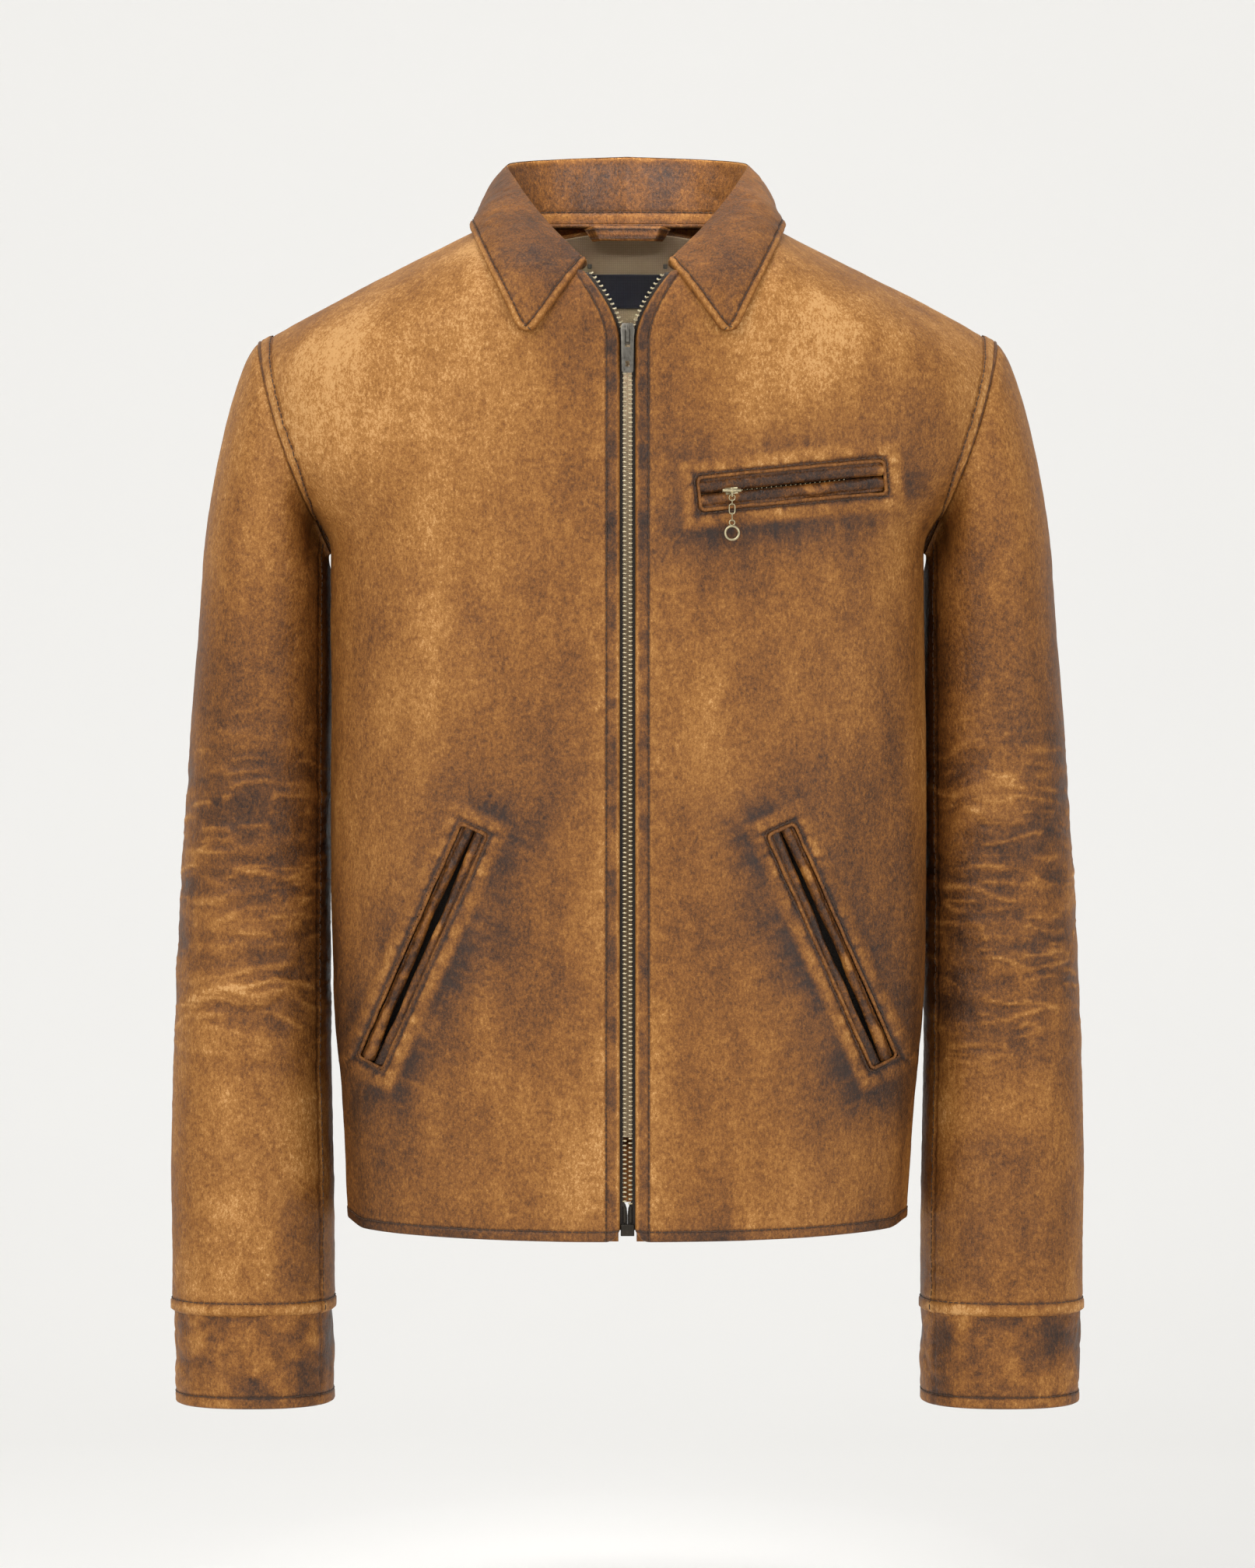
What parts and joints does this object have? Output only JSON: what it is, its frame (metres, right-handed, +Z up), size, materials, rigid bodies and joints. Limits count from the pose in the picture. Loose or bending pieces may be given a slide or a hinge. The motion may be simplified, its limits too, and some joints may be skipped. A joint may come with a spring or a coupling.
{
  "type": "leather riding jacket",
  "caption": "Waist-length leather riding jacket with a turned-down collar, zip front, slanted hand pockets and a zipped chest pocket.",
  "frame": {"origin": "middle of the hanger loop's underside, where a coat hook bears", "axes": "+Z up when worn, -Y out of the jacket's front, +X towards the wearer's left; all rotations follow the right-hand rule"},
  "size_m": [0.5714, 0.2455, 0.7884],
  "materials": {
    "leather": "waxed, rubbed and burnished tan",
    "welt_leather": "dark, glossy and wrinkled",
    "lining": "matt woven taupe",
    "zip_tape": "matt woven tape",
    "label": "plain dark woven patch",
    "brass": "antiqued",
    "gunmetal": "dark, worn to bright metal at the edges"
  },
  "bodies": {
    "jacket_body": {"front_left": "leather", "front_right": "leather", "back": "leather", "collar_stand": "leather", "collar_fall": "leather", "hanger_loop": "leather", "neck_label": "label", "lining_back": "lining", "hem_facing_back": "leather", "lining_front_left": "lining", "front_facing_left": "leather", "hem_facing_left": "leather", "zip_tape_left": "zip_tape", "zip_teeth_left": "brass", "zip_top_stop_left": "brass", "zip_end_pin_left": "gunmetal", "hand_pocket_front_welt_left": "welt_leather", "hand_pocket_back_welt_left": "welt_leather", "hand_pocket_bag_left": "lining", "armhole_seam_left": "leather", "lining_front_right": "lining", "front_facing_right": "leather", "hem_facing_right": "leather", "zip_tape_right": "zip_tape", "zip_teeth_right": "brass", "zip_top_stop_right": "brass", "zip_end_pin_right": "gunmetal", "hand_pocket_front_welt_right": "welt_leather", "hand_pocket_back_welt_right": "welt_leather", "hand_pocket_bag_right": "lining", "armhole_seam_right": "leather", "zip_retainer_box": "gunmetal", "chest_pocket_upper_welt": "welt_leather", "chest_pocket_lower_welt": "welt_leather", "chest_pocket_bag": "lining", "chest_zip_tape": "zip_tape", "chest_zip_teeth": "brass"},
    "front_zip_slider": {"zip_slider": "gunmetal"},
    "front_zip_puller": {"zip_puller": "gunmetal"},
    "chest_zip_slider": {"chest_zip_slider": "brass"},
    "pull_split_ring": {"pull_split_ring": "brass"},
    "pull_link_upper": {"pull_link_upper": "brass"},
    "pull_link_oval": {"pull_link_oval": "brass"},
    "pull_link_lower": {"pull_link_lower": "brass"},
    "pull_tag_ring": {"pull_tag_ring": "brass"},
    "upper_sleeve_left": {"sleeve_upper_left": "leather", "sleeve_upper_lining_left": "lining"},
    "forearm_left": {"forearm_top_left": "leather", "forearm_under_left": "leather", "forearm_lining_left": "lining", "cuff_left": "leather"},
    "upper_sleeve_right": {"sleeve_upper_right": "leather", "sleeve_upper_lining_right": "lining"},
    "forearm_right": {"forearm_top_right": "leather", "forearm_under_right": "leather", "forearm_lining_right": "lining", "cuff_right": "leather"}
  },
  "joints": [
    {"name": "front_zip_slide", "type": "slide", "parent": "jacket_body", "child": "front_zip_slider", "axis": [0, 0, 1], "range_m": [-0.529, 0]},
    {"name": "front_puller_flip", "type": "hinge", "parent": "front_zip_slider", "child": "front_zip_puller", "pos_m": [0, -0.1769, -0.0731], "axis": [-1, 0, 0], "range_deg": [0, 160]},
    {"name": "chest_zip_slide", "type": "slide", "parent": "jacket_body", "child": "chest_zip_slider", "axis": [0.9804, 0.1679, 0.103], "range_m": [0, 0.066]},
    {"name": "pull_split_ring_sway", "type": "hinge", "parent": "chest_zip_slider", "child": "pull_split_ring", "pos_m": [0.0628, -0.17722, -0.17342], "axis": [0, 1, 0], "range_deg": [-30, 30]},
    {"name": "pull_link_upper_lift", "type": "hinge", "parent": "pull_split_ring", "child": "pull_link_upper", "pos_m": [0.0628, -0.17722, -0.17594], "axis": [-1, 0, 0], "range_deg": [-4, 30]},
    {"name": "pull_link_oval_sway", "type": "hinge", "parent": "pull_link_upper", "child": "pull_link_oval", "pos_m": [0.0628, -0.17722, -0.1789], "axis": [0, 1, 0], "range_deg": [-30, 30]},
    {"name": "pull_link_lower_lift", "type": "hinge", "parent": "pull_link_oval", "child": "pull_link_lower", "pos_m": [0.0628, -0.17722, -0.18402], "axis": [-1, 0, 0], "range_deg": [-4, 30]},
    {"name": "pull_tag_ring_sway", "type": "hinge", "parent": "pull_link_lower", "child": "pull_tag_ring", "pos_m": [0.0628, -0.17722, -0.18854], "axis": [0, 1, 0], "range_deg": [-30, 30]},
    {"name": "shoulder_swing_left", "type": "hinge", "parent": "jacket_body", "child": "upper_sleeve_left", "pos_m": [0.207, -0.0567, -0.1353], "axis": [-0.9454, 0, 0.326], "range_deg": [-15, 40]},
    {"name": "elbow_bend_left", "type": "hinge", "parent": "upper_sleeve_left", "child": "forearm_left", "pos_m": [0.235, -0.041, -0.412], "axis": [-1, 0, 0], "range_deg": [0, 60]},
    {"name": "shoulder_swing_right", "type": "hinge", "parent": "jacket_body", "child": "upper_sleeve_right", "pos_m": [-0.207, -0.0567, -0.1353], "axis": [-0.9454, 0, -0.326], "range_deg": [-15, 40]},
    {"name": "elbow_bend_right", "type": "hinge", "parent": "upper_sleeve_right", "child": "forearm_right", "pos_m": [-0.235, -0.041, -0.412], "axis": [-1, 0, 0], "range_deg": [0, 60]}
  ]
}
